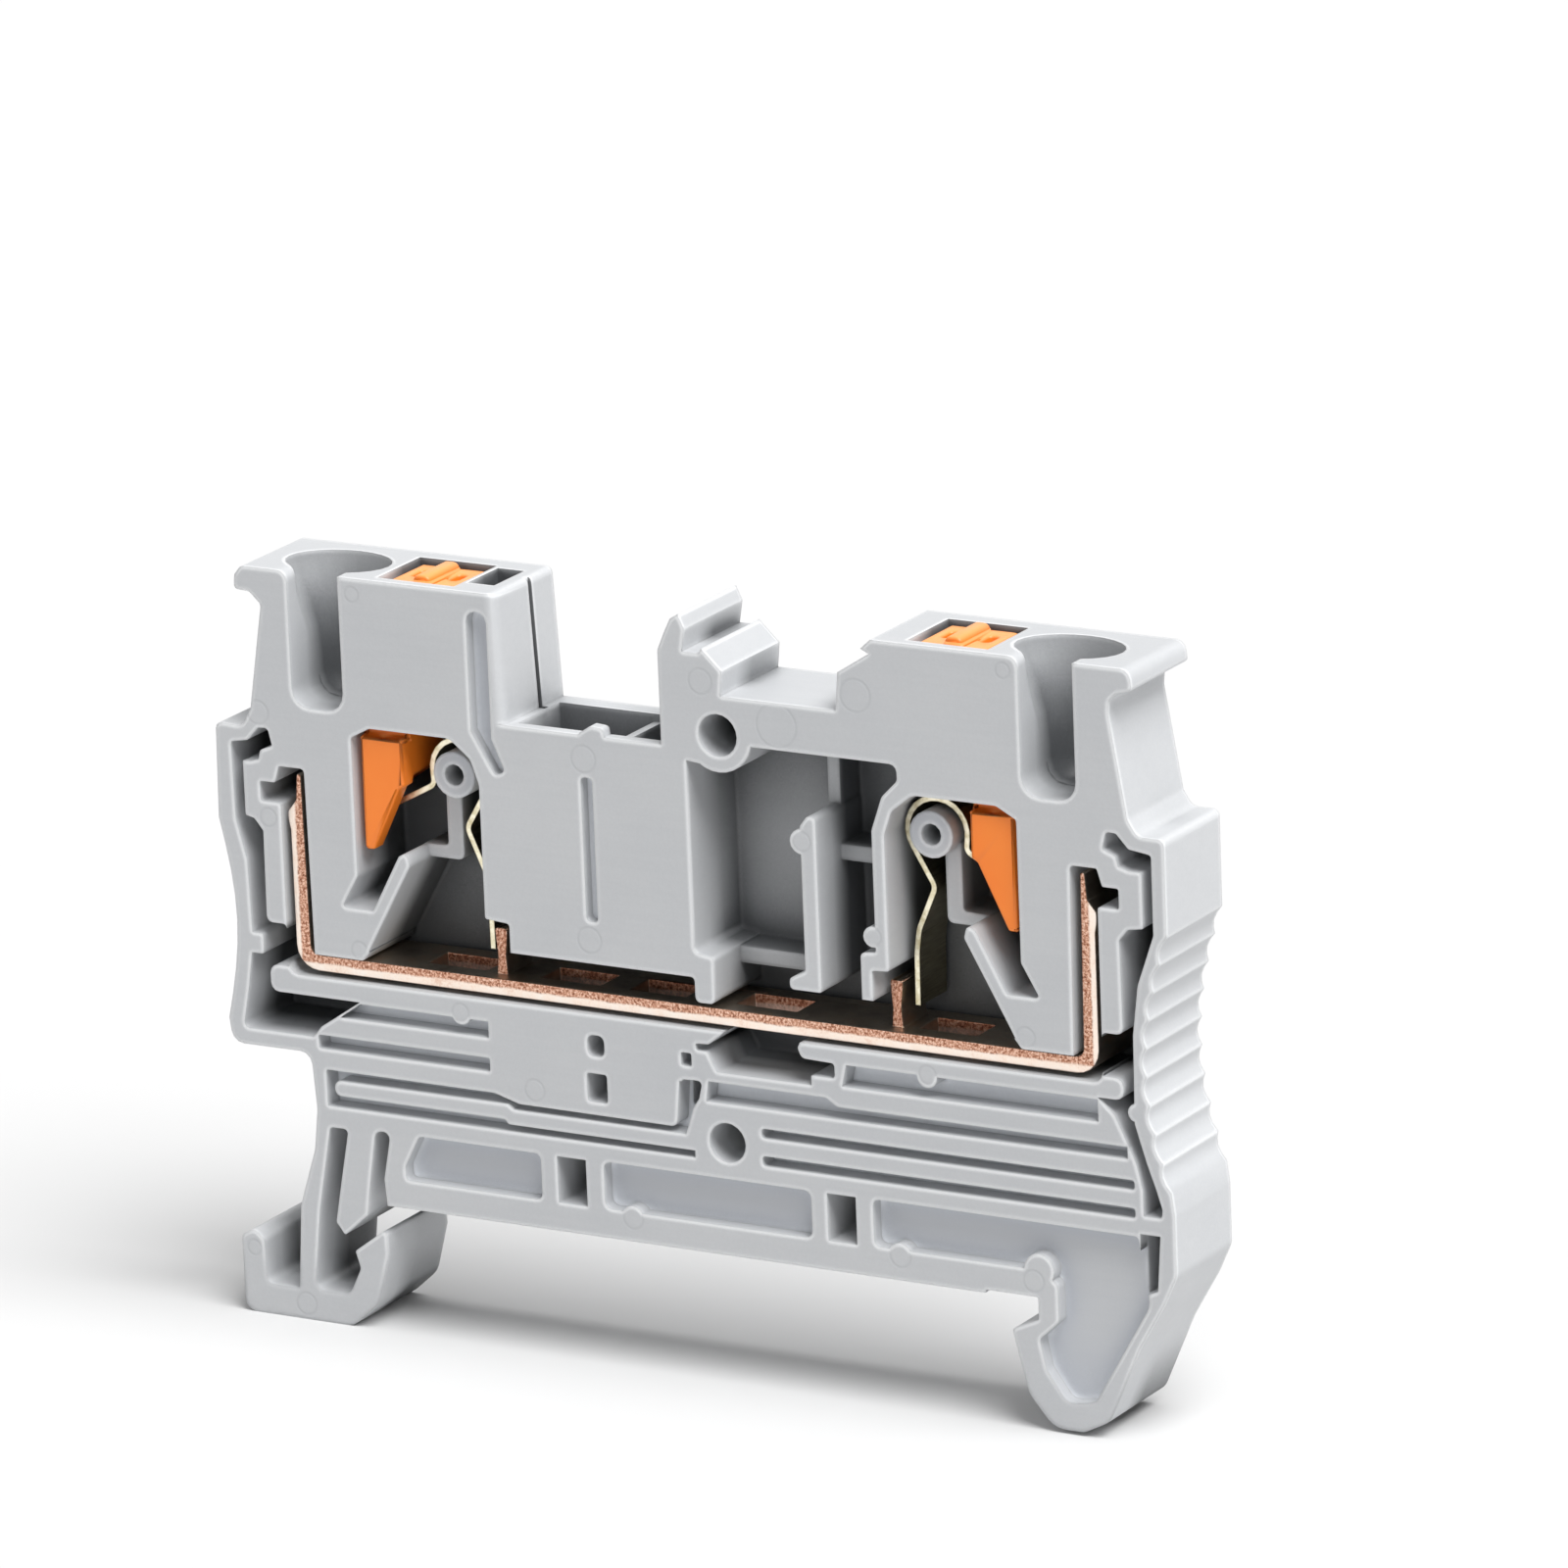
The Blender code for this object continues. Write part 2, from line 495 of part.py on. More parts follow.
def add_islands(housing):
    """Posts, stems and ribs that stand up from the back wall inside the pockets."""
    def posts(bm):
        for sign in (-1, 1):
            prism(bm, side(circle(POST_X, POST_Z, POST_R), sign), FRONT + POST_RECESS, FLOOR + 0.5)

    def stems(bm):
        low = STEM_X - STEM_WIDTH / 2
        high = STEM_X + STEM_WIDTH / 2
        outline = rounded([(low, 16.3, 0.3), (14.5, 16.3), (14.5, 16.85), (high, 16.9, 0.2),
                           (high, POST_Z - 0.5), (low, POST_Z - 0.5)])
        for sign in (-1, 1):
            prism(bm, side(outline, sign), FRONT + STEM_RECESS, FLOOR + 0.5)

    def ribs(bm):
        upright = rounded([(5.3, 12.9, 0.2), (6.9, 12.9, 0.1), (6.9, 20.9), (6.5, 21.0, 0.2), (6.12, 20.5),
                           (6.12, 13.8, 0.2), (5.3, 13.4, 0.2)])
        prism(bm, upright, FRONT, FLOOR + 0.5)
        prism(bm, circle(6.15, 19.77, 0.58, 14), FRONT, FLOOR + 0.5)

    def ledge(bm):
        block(bm, 1.3, 6.2, FRONT + SHELF_RECESS, FLOOR + 0.5, 13.0, 13.75)
        block(bm, 6.25, 6.85, FRONT + SHELF_RECESS, FLOOR + 0.5, 20.5, 24.2)
        block(bm, 6.8, 9.9, FRONT + SHELF_RECESS - 0.2, FLOOR + 0.5, 18.45, 19.15)

    def boss(bm):
        prism(bm, circle(*DOWEL, DOWEL_BOSS_R, 28), FRONT, FLOOR + 0.5)
        web = rounded([(0.3, 24.2), (0.3, 22.9), (1.2, 22.8), (3.0, 22.85), (3.55, 23.4, 0.3), (3.75, 24.2)])
        prism(bm, web, FRONT, FLOOR + 0.5)

    def nubs(bm):
        prism(bm, circle(9.6, 15.8, 0.48, 14), FRONT, FLOOR + 0.5)
        prism(bm, circle(22.5, 9.3, 0.42, 14), FRONT, FLOOR + 0.5)

    def bump(bm):
        tooth = rounded([(-5.1, 23.2), (-3.7, 23.2), (-3.8, 23.85, 0.2), (-4.45, 23.9, 0.1),
                         (-5.0, 23.55, 0.1)])
        prism(bm, tooth, FRONT, FRONT + NOTCH_WALL)
        block(bm, -3.6, -3.2, FRONT + NOTCH_WALL - 0.1, FLOOR + 0.5, 21.3, 23.1)
    for name, draw in (("posts", posts), ("stems", stems), ("ribs", ribs), ("ledge", ledge), ("boss", boss),
                       ("nubs", nubs), ("bump", bump)):
        combine(housing, guide(name, draw), "UNION", True)
    holes = [circle(sign * POST_X, POST_Z, POST_HOLE_R, 12) for sign in (-1, 1)]
    pocket("post_holes", housing, holes, DOWEL_DEPTH)


def add_face_nubs(housing):
    """Small round nubs that reach into the grooves and windows of the open side."""
    def groove_nubs(bm):
        for x in (-11.85, 12.08):
            prism(bm, circle(x, 9.65, 0.5, 16), FRONT, FRONT + GROOVE_DEPTH + NUB_DEPTH)

    def window_nubs(bm):
        for x, z, radius in ((-3.3, 1.1, 0.58), (10.4, 1.13, 0.6), (17.4, 1.42, 0.75)):
            prism(bm, circle(x, z, radius, 16), FRONT, FRONT + WINDOW_DEPTH + NUB_DEPTH)
    combine(housing, guide("groove_nubs", groove_nubs), "UNION")
    combine(housing, guide("window_nubs", window_nubs), "UNION")


def make_housing(material):
    outline = profile()
    housing = solid("housing", lambda bm: prism(bm, outline, FRONT, BACK), material)
    cut_mechanism(housing)
    cut_wire_entries(housing)
    cut_channels(housing)
    add_islands(housing)
    cut_face(housing)
    add_face_nubs(housing)
    return housing


def make_bar(material):
    """Punched and bent copper strip: floor, two uprights, clamp tabs and windows."""
    inner = BAR_OUT - BAR_T
    half = [
        (BAR_OUT, BAR_FLOOR, BAR_BEND), (BAR_OUT, BAR_NECK - 0.5), (BAR_OUT + BAR_BULGE, BAR_NECK, 0.2),
        (BAR_OUT + BAR_BULGE, BAR_NECK + 0.4, 0.3), (BAR_OUT - BAR_NECK_STEP, BAR_NECK + 0.95, 0.2),
        (BAR_OUT - BAR_NECK_STEP - 0.1, BAR_TOP, 0.1), (inner + 0.1, BAR_TOP, 0.1),
        (inner, BAR_FLOOR + BAR_T, 0.4),
    ]
    outline = rounded(half + [(-p[0], *p[1:]) for p in reversed(half)], 5)
    back = BAR_FRONT + BAR_WIDTH
    middle = BAR_FRONT + BAR_WIDTH / 2
    bar = solid("current_bar", lambda bm: prism(bm, outline, BAR_FRONT, back), material)

    def tabs(bm):
        for sign in (-1, 1):
            low = BAR_FLOOR + 0.3
            tab = rounded([
                (TAB_X - TAB_T / 2, TAB_TOP, 0.1), (TAB_X - TAB_NECK_T / 2, TAB_NECK, 0.8),
                (TAB_X - TAB_T / 2, low), (TAB_X + TAB_T / 2, low),
                (TAB_X + TAB_NECK_T / 2, TAB_NECK, 0.8), (TAB_X + TAB_T / 2, TAB_TOP, 0.1),
            ])
            prism(bm, side(tab, sign), middle - TAB_WIDTH / 2, middle + TAB_WIDTH / 2)

    def windows(bm):
        for x0, x1 in BAR_WINDOWS:
            block(bm, x0, x1, middle - WINDOW_WIDTH / 2, middle + WINDOW_WIDTH / 2, BAR_FLOOR - BEYOND,
                  BAR_FLOOR + BAR_T + BEYOND)
    combine(bar, guide("bar_windows", windows), "DIFFERENCE")
    combine(bar, guide("bar_tabs", tabs), "UNION")
    return bar


def spring_line():
    """Centre line of the strip: lower leg, kink, loop round the post, clamp leg."""
    loop = []
    for k in range(15):
        angle = math.radians(215 - 225 * k / 14)
        loop.append(Vector((POST_X + LOOP_R * math.cos(angle), POST_Z + LOOP_R * math.sin(angle))))
    start, end = loop[0], loop[-1]
    leg = rounded([SPRING_FOOT, (10.95, 14.8, 3.0), (11.1, 15.9, 1.5), (*KINK, 0.5), (start.x, start.y),
                   (start.x - 1.0, start.y)], 4)[:-2]
    clamp = rounded([(end.x, end.y), (end.x - 0.05, end.y - 0.5, 0.4), LEG_END, (end.x, 10.0)], 4)[1:-1]
    return leg + loop + clamp


def strip_outline(line):
    """Both faces of a strip of constant thickness along a centre line."""
    left, right = [], []
    for i, point in enumerate(line):
        ahead = line[min(i + 1, len(line) - 1)] - line[max(i - 1, 0)]
        normal = Vector((-ahead.y, ahead.x)).normalized() * STRIP_T / 2
        left.append(point + normal)
        right.append(point - normal)
    return left + list(reversed(right))


def make_springs(material):
    outline = strip_outline(spring_line())
    back = STRIP_FRONT + STRIP_WIDTH
    for name, sign in (("spring_left", -1), ("spring_right", 1)):
        solid(name, lambda bm: prism(bm, side(outline, sign), STRIP_FRONT, back), material)


def make_pushers(material):
    """Each pusher: a head in the tower, a body over the clamp leg and a cheek down beside the wire."""
    body = pusher_outline(0.0, 0.0)
    cheek = rounded([
        (PUSH_IN, PUSH_FACE_TOP, 0.1), (PUSH_OUT, PUSH_FACE_TOP, 0.1), (PUSH_OUT, PUSH_TIP, 0.15),
        (16.25, PUSH_TIP, 0.15), (14.8, 19.7, 0.1), (PUSH_IN, 19.9, 0.1),
    ])
    middle = (HEAD_IN + HEAD_OUT) / 2
    ridge = rounded([
        (middle - RIDGE_WIDTH / 2, HEAD_TOP - 0.3), (middle + RIDGE_WIDTH / 2, HEAD_TOP - 0.3),
        (middle + RIDGE_WIDTH / 2, HEAD_TOP + RIDGE_RISE, RIDGE_WIDTH / 2),
        (middle - RIDGE_WIDTH / 2, HEAD_TOP + RIDGE_RISE, RIDGE_WIDTH / 2),
    ], 5)
    cheek_back = STRIP_FRONT - PUSH_GAP
    for name, sign in (("pusher_left", -1), ("pusher_right", 1)):
        def leaf(bm):
            prism(bm, side(cheek, sign), FRONT + CHEEK_RECESS, cheek_back)

        def shank(bm):
            prism(bm, side(body, sign), FRONT + CHANNEL_WALL + PUSH_GAP, FLOOR - 0.2)

        def trim(bm):
            block(bm, -HALF, HALF, -WIDTH, WIDTH, HEAD_TOP, HEAD_TOP + 2 * BEYOND)

        def crown(bm):
            prism(bm, side(ridge, sign), RIDGE_FRONT, RIDGE_BACK)

        def pits(bm):
            for turn in (-1, 1):
                near = sign * middle + turn * PIT_IN
                far = sign * middle + turn * PIT_OUT
                block(bm, min(near, far), max(near, far), -PIT_HALF_DEPTH, PIT_HALF_DEPTH, PIT_FLOOR,
                      HEAD_TOP + BEYOND)
        pusher = solid(name, leaf, material)
        combine(pusher, guide(name + "_shank", shank), "UNION")
        combine(pusher, guide(name + "_trim", trim), "DIFFERENCE")
        combine(pusher, guide(name + "_crown", crown), "UNION")
        combine(pusher, guide(name + "_pits", pits), "DIFFERENCE")


def shade_all():
    for item in bpy.context.scene.objects:
        if item.type == "MESH" and not item.hide_render:
            item.data.shade_smooth()
            item.data.set_sharp_from_angle(angle=math.radians(35))


def main():
    reset()
    grey = plastic("grey_polyamide", (0.50, 0.51, 0.53), 0.45)
    orange = plastic("orange_polyamide", (0.95, 0.25, 0.03), 0.4)
    copper = plastic("tinned_copper", (0.80, 0.45, 0.30), 0.35, 1.0)
    steel = plastic("spring_steel", (0.62, 0.58, 0.45), 0.3, 1.0)
    make_housing(grey)
    make_bar(copper)
    make_springs(steel)
    make_pushers(orange)
    shade_all()


main()
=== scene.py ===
"""Looks of the push-in terminal block: camera, light, materials, moulded edges and surface marks."""
import math

import bmesh
import bpy
from mathutils import Matrix, Vector


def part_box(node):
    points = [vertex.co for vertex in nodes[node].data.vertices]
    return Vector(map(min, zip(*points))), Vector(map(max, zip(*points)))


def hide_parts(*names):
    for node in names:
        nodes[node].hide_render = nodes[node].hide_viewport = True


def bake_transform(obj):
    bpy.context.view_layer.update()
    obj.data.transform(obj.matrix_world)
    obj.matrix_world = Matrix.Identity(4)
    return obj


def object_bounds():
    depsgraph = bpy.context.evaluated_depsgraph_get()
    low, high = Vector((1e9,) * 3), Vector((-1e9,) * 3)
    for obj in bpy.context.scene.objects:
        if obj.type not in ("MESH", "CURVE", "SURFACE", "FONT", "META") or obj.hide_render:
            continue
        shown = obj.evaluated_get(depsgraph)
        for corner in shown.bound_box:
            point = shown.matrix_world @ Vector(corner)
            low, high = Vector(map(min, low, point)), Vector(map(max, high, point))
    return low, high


MM = 0.001

# Camera, fitted to the photograph: places and lens in millimetres, angles in degrees.
# The picture is square, so the angle of view is the same both ways
CAMERA_AT = (261.01, -440.24, 169.96)
CAMERA_AZIMUTH = 30.288
CAMERA_ELEVATION = 16.239
CAMERA_ROLL = -2.247
LENS = 275.94
SENSOR = 36.0
CLIP_FROM = 50.0

# Light: direction, strength and width in degrees of the soft key lamp, and the level of the surroundings.
# The floor is grey, and this light just brings it to white; its reach is in millimetres
KEY_FROM = (0.475, -0.17, 0.865)
KEY_STRENGTH = 3.6
KEY_SPREAD = 40.0
WORLD_LEVEL = 0.38
WHITE_LEVEL = 1.0
FLOOR_GREY = 0.735
FLOOR_REACH = 3000.0

# Edge radii in millimetres: real bevels on the pushers and the bar, shading alone on the housing, which also
# sets the width of its painted edge highlight, and the width of the rim of painted shade on the springs
EDGE_RADIUS = 0.33
PUSHER_EDGE = 0.14
BAR_EDGE = 0.07
SPRING_EDGE = 0.09

# Angles in degrees from which an edge counts as sharp
BEVEL_ANGLE = 28
HOUSING_ANGLE = 32
STRIP_ANGLE = 35

# Distances in metres under which corners are one: on bevelled pieces and strips, on the housing, at a cut
MERGE = 0.00001
HOUSING_MERGE = 0.000002
CUT_MERGE = 1e-7

# Steps across a bevel, and how strongly large faces lead the normals beside it
BEVEL_STEPS = 2
BEVEL_WEIGHT = 60

# Stretch of the clamp spring's leg that bends when its pusher goes down, as distances from the middle,
# and the number of cuts across it
LEG_FROM = 13.72
LEG_TO = 14.45
LEG_CUTS = 9

# Open side of the housing, and the marks that the mould's ejector pins leave on it, as x, z and radius
FRONT = -2.6
PIN_MARKS = (
    (-4.87, 22.33, 0.62), (-4.95, 13.92, 0.6), (-21.9, 22.65, 0.55), (-21.6, 17.75, 0.42), (1.3, 26.58, 0.58),
    (5.1, 24.95, 1.0), (9.14, 26.77, 0.75), (17.1, 0.85, 0.5), (17.1, 12.1, 0.45), (-17.1, 12.0, 0.4),
    (-20.87, -5.3, 0.52), (-23.55, -2.95, 0.36), (-8.17, 6.5, 0.5), (-16.6, 28.7, 0.35), (16.55, 28.7, 0.35),
    (-11.9, 9.7, 0.42), (12.1, 9.75, 0.42), (-3.3, 1.1, 0.5), (10.4, 1.13, 0.52), (9.6, 15.8, 0.4),
    (6.15, 19.77, 0.45),
)

# How far from its circle a pin mark's line fades, and how far below the open side it fades out
RING_LINE = (0.03, 0.09)
RING_DEPTH = (0.02, 0.06)

# Ends of a span that falls instead of rising
FALLING = (1.0, 0.0)

# Rays for the rounded edges and for the openness, and the part of the openness that is read
EDGE_RAYS = 6
OPEN_RAYS = 8
OPEN_BAND = (0.15, 0.95)

# Grey plastic: noise as marks a millimetre, detail and roughness, with stretches along x, y and z
GREY_CLOUD = (0.16, 2.0, 0.55)
GREY_GRAIN = (9.0, 3.0, 0.6)
GREY_FLOW = (0.9, 3.0, 0.55)
GREY_STREAKS = (1.5, 4.0, 0.6)
FLOW_STRETCH = (0.25, 1, 1.3)
STREAK_STRETCH = (0.1, 1, 2.2)

# Its colours, and how much of each is mixed in: among them painted shade on the window floors, painted light
# in the grooves, painted shade deep in pockets and a painted highlight on the open edges
CLOUD_TINTS = ((0.3, (0.528, 0.540, 0.556)), (0.7, (0.558, 0.568, 0.580)))
GRAIN_TINTS = ((0.35, (0.48, 0.49, 0.51)), (0.65, (0.66, 0.67, 0.69)))
STREAK_TINTS = ((0.38, (0.46, 0.475, 0.50)), (0.62, (0.64, 0.65, 0.66)))
RING_TINT = (0.33, 0.34, 0.36)
WINDOW_PAINTED_SHADE = (0.495, 0.515, 0.555)
GROOVE_PAINTED_LIGHT = (0.93, 0.96, 1.0)
DEEP_PAINTED_SHADE = (0.17, 0.175, 0.18)
EDGE_PAINTED_HIGHLIGHT = (0.93, 0.94, 0.95)
GRAIN_SHARE = 0.10
STREAK_SHARE = 0.06
RING_SHARE = 0.16
EDGE_HIGHLIGHT_SHARE = 0.85

# Where these lie: depths in millimetres below the open side, openness from 0 in a deep pocket to 1,
# how much a floor faces the open side, and how far a rounded normal is turned
OPEN_REACH = 5.0
SHALLOW_FROM = (0.3, 0.45)
SHALLOW_TO = (1.5, 1.2)
FLOOR_FACING = (0.6, 0.9)
WINDOW_OPEN = (0.95, 0.85)
GROOVE_OPEN = (0.48, 0.25)
DEEP_FROM = (1.4, 2.8)
DEEP_OPEN = (0.80, 0.25)
EDGE_TURN = (0.0008, 0.045)
EDGE_OPEN = (0.70, 0.95)

# Orange plastic, with a painted sheen that lightens its faces that look up a little
ORANGE_CLOUD = (0.35, 2.0, 0.55)
ORANGE_GRAIN = (11.0, 3.0, 0.6)
ORANGE_TINTS = ((0.3, (0.97, 0.215, 0.014)), (0.7, (1.0, 0.250, 0.022)))
PAINTED_SHEEN_TINT = (1.0, 0.62, 0.26)
PAINTED_SHEEN_SHARE = 0.42
UPWARD_FACING = (0.35, 0.95)

# Bar: noise, as above
BAR_STREAK = (8.5, 4.0, 0.75)
BAR_DRIFT = (0.8, 3.0, 0.6)
BAR_SPECK = (6.0, 4.0, 0.7)
BAR_CLOUD = (0.55, 4.0, 0.6)
STREAK_SQUEEZE = 0.8

# Its sheared edge: torn copper, smooth copper, painted shade on the walls of its holes and the dark outline
TORN_TINTS = (
    (0.32, (0.09, 0.03, 0.02)), (0.45, (0.40, 0.17, 0.10)),
    (0.54, (0.76, 0.44, 0.31)), (0.68, (1.0, 0.80, 0.67)),
)
SMOOTH_TINTS = ((0.30, (0.78, 0.50, 0.37)), (0.46, (1.0, 0.84, 0.72)), (0.7, (1.0, 0.94, 0.87)))
SMOOTH_STREAK = 0.35
SMOOTH_DRIFT = 0.65
TORN_WANDER = 0.3
TORN_FROM = (0.34, 0.44)
HOLE_PAINTED_SHADE = (0.50, 0.33, 0.26)
HOLE_FROM = 0.7
HOLE_TO = 1.3
HOLE_SHADE_SHARE = 0.7
OUTLINE_TINT = (0.30, 0.13, 0.08)
OUTLINE_WIDTH = 0.06
OUTLINE_SHARE = 0.55

# Its tinned faces
TIN_TINTS = ((0.25, (0.20, 0.165, 0.13)), (0.5, (0.34, 0.29, 0.235)), (0.75, (0.40, 0.27, 0.18)))
SPECK_TINT = (0.62, 0.54, 0.44)
SPECK_FROM = (0.62, 0.75)
SPECK_SHARE = 0.5

# How much a face of the bar or the springs faces sideways where it counts as a cut edge
CUT_FACING = (0.55, 0.8)

# Springs: brushed faces and bright cut edges, partly their finish and partly painted shade on the faces and a
# painted highlight on the edges, and a rim of painted shade along the edges
BRUSH = (1.4, 3.0, 0.6)
BRUSH_STRETCH = (9, 0.6, 9)
CUT_CLOUD = (3.0, 3.0, 0.55)
FACE_TINTS_AND_SHADE = ((0.3, (0.22, 0.195, 0.12)), (0.7, (0.36, 0.325, 0.22)))
CUT_TINTS_AND_HIGHLIGHT = ((0.3, (0.66, 0.58, 0.36)), (0.6, (1.0, 0.94, 0.74)))
RIM_PAINTED_SHADE = (0.20, 0.165, 0.085)
RIM_TURN = (0.02, 0.14)
RIM_SHADE_SHARE = 0.75

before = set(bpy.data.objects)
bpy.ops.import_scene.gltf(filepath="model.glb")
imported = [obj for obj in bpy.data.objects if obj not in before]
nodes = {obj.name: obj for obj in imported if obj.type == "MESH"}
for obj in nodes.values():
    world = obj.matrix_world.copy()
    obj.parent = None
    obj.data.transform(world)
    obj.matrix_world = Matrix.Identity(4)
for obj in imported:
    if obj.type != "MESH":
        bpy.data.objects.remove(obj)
cad_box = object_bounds()

# Underside of the bar and its reach to either end
BAR_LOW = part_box("current_bar")[0][2] / MM
BAR_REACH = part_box("current_bar")[1][0] / MM


def camera():
    """Camera at the photograph's viewing angle."""
    data = bpy.data.cameras.new("view")
    data.sensor_width = SENSOR
    data.lens = LENS
    data.clip_start = CLIP_FROM * MM
    item = bpy.data.objects.new("view", data)
    azimuth, elevation, roll = (math.radians(v) for v in (CAMERA_AZIMUTH, CAMERA_ELEVATION, CAMERA_ROLL))
    turn = (Matrix.Rotation(azimuth, 4, "Z") @ Matrix.Rotation(math.pi / 2 - elevation, 4, "X")
            @ Matrix.Rotation(roll, 4, "Z"))
    item.matrix_world = Matrix.Translation(Vector(CAMERA_AT) * MM) @ turn
    bpy.context.scene.collection.objects.link(item)
    bpy.context.scene.camera = item


class Nodes:
    """Short way to build a material's nodes."""

    def __init__(self, name):
        self.material = bpy.data.materials.new(name)
        self.material.use_nodes = True
        self.tree = self.material.node_tree
        self.shader = self.tree.nodes["Principled BSDF"]

    def put(self, value, socket):
        """Links another node's output to a socket, or sets a plain value there."""
        if isinstance(value, bpy.types.NodeSocket):
            self.tree.links.new(value, socket)
        else:
            socket.default_value = value

    def add(self, kind, inputs=None, **settings):
        """A new node with its settings and inputs."""
        node = self.tree.nodes.new(kind)
        for key, value in settings.items():
            setattr(node, key, value)
        for key, value in (inputs or {}).items():
            self.put(value, node.inputs[key])
        return node

    def place(self, stretch=(1, 1, 1)):
        """Object coordinates in millimetres."""
        coords = self.add("ShaderNodeTexCoord")
        scale = tuple(s / MM for s in stretch)
        return self.add("ShaderNodeMapping", {"Vector": coords.outputs["Object"], "Scale": scale}).outputs[0]

    def noise(self, vector, texture):
        """Noise of a texture that is given as its scale, detail and roughness."""
        scale, detail, rough = texture
        inputs = {"Vector": vector, "Scale": scale, "Detail": detail, "Roughness": rough}
        return self.add("ShaderNodeTexNoise", inputs).outputs["Fac"]

    def ramp(self, factor, stops):
        """Colours along a value, each stop with its place and colour."""
        node = self.add("ShaderNodeValToRGB", {"Fac": factor})
        elements = node.color_ramp.elements
        while len(elements) < len(stops):
            elements.new(0.5)
        for element, (place, colour) in zip(elements, stops):
            element.position = place
            element.color = (*colour, 1.0)
        return node.outputs[0]

    def mix(self, share, a, b, blend="MIX"):
        """Colour a with a share of colour b."""
        node = self.add("ShaderNodeMix", data_type="RGBA", blend_type=blend)
        for key, value in (("Factor", share), ("A", a), ("B", b)):
            socket = [s for s in node.inputs if s.name == key and s.enabled][0]
            self.put((*value, 1.0) if isinstance(value, tuple) else value, socket)
        return [s for s in node.outputs if s.enabled][0]

    def math(self, operation, a, b=0.0):
        return self.add("ShaderNodeMath", {0: a, 1: b}, operation=operation).outputs[0]

    def times(self, a, b):
        return self.math("MULTIPLY", a, b)

    def split(self, vector):
        """The three numbers of a vector."""
        return self.add("ShaderNodeSeparateXYZ", {"Vector": vector}).outputs

    def span(self, value, band, ends=(0.0, 1.0)):
        """A value's way through a band, from its first end to its last and no further."""
        inputs = {"Value": value, "From Min": band[0], "From Max": band[1],
                  "To Min": ends[0], "To Max": ends[1]}
        return self.add("ShaderNodeMapRange", inputs).outputs[0]

    def soft_edges(self, radius):
        """Normals as if every edge had a small radius."""
        return self.add("ShaderNodeBevel", {"Radius": radius * MM}, samples=EDGE_RAYS).outputs[0]

    def openness(self, reach):
        """How open the surface is to its surroundings: 0 deep in a pocket, 1 in the open."""
        node = self.add("ShaderNodeAmbientOcclusion", {"Distance": reach * MM}, samples=OPEN_RAYS)
        return self.span(node.outputs["AO"], OPEN_BAND)

    def turned(self, normal):
        """How far a normal is turned from the surface's own one, from 0 upwards."""
        own = self.add("ShaderNodeNewGeometry").outputs["Normal"]
        same = self.add("ShaderNodeVectorMath", {0: normal, 1: own}, operation="DOT_PRODUCT").outputs["Value"]
        return self.math("SUBTRACT", 1.0, same)

    def facing_side(self):
        """How much the surface faces the open or the closed side, from 0 to 1."""
        normal = self.add("ShaderNodeTexCoord").outputs["Normal"]
        return self.math("ABSOLUTE", self.split(normal)[1])

    def bump(self, height, distance, strength, normal=None):
        """Normals that follow a height; the distance is in millimetres."""
        inputs = {"Height": height, "Distance": distance * MM, "Strength": strength}
        if normal:
            inputs["Normal"] = normal
        return self.add("ShaderNodeBump", inputs).outputs[0]

    def roughness(self, texture, swing, base):
        """Roughness that rises from its base by up to its swing, along a texture."""
        self.link(self.math("ADD", self.times(texture, swing), base), "Roughness")

    def link(self, output, socket):
        self.tree.links.new(output, self.shader.inputs[socket])

    def set(self, **values):
        """Constants on the shader's own sockets."""
        for key, value in values.items():
            self.shader.inputs[key.replace("_", " ")].default_value = value


def pin_marks(m, place):
    """Thin rings where the ejector pins met the open side, 1 on the line and 0 away from it."""
    x, y, z = m.split(place)
    nearest = None
    for mark_x, mark_z, radius in PIN_MARKS:
        across = m.math("SUBTRACT", x, mark_x)
        up = m.math("SUBTRACT", z, mark_z)
        reach = m.math("SQRT", m.math("ADD", m.times(across, across), m.times(up, up)))
        gap = m.math("ABSOLUTE", m.math("SUBTRACT", reach, radius))
        nearest = gap if nearest is None else m.math("MINIMUM", nearest, gap)
    line = m.span(nearest, RING_LINE, FALLING)
    skin = (FRONT + RING_DEPTH[0], FRONT + RING_DEPTH[1])
    return m.times(line, m.span(y, skin, FALLING))


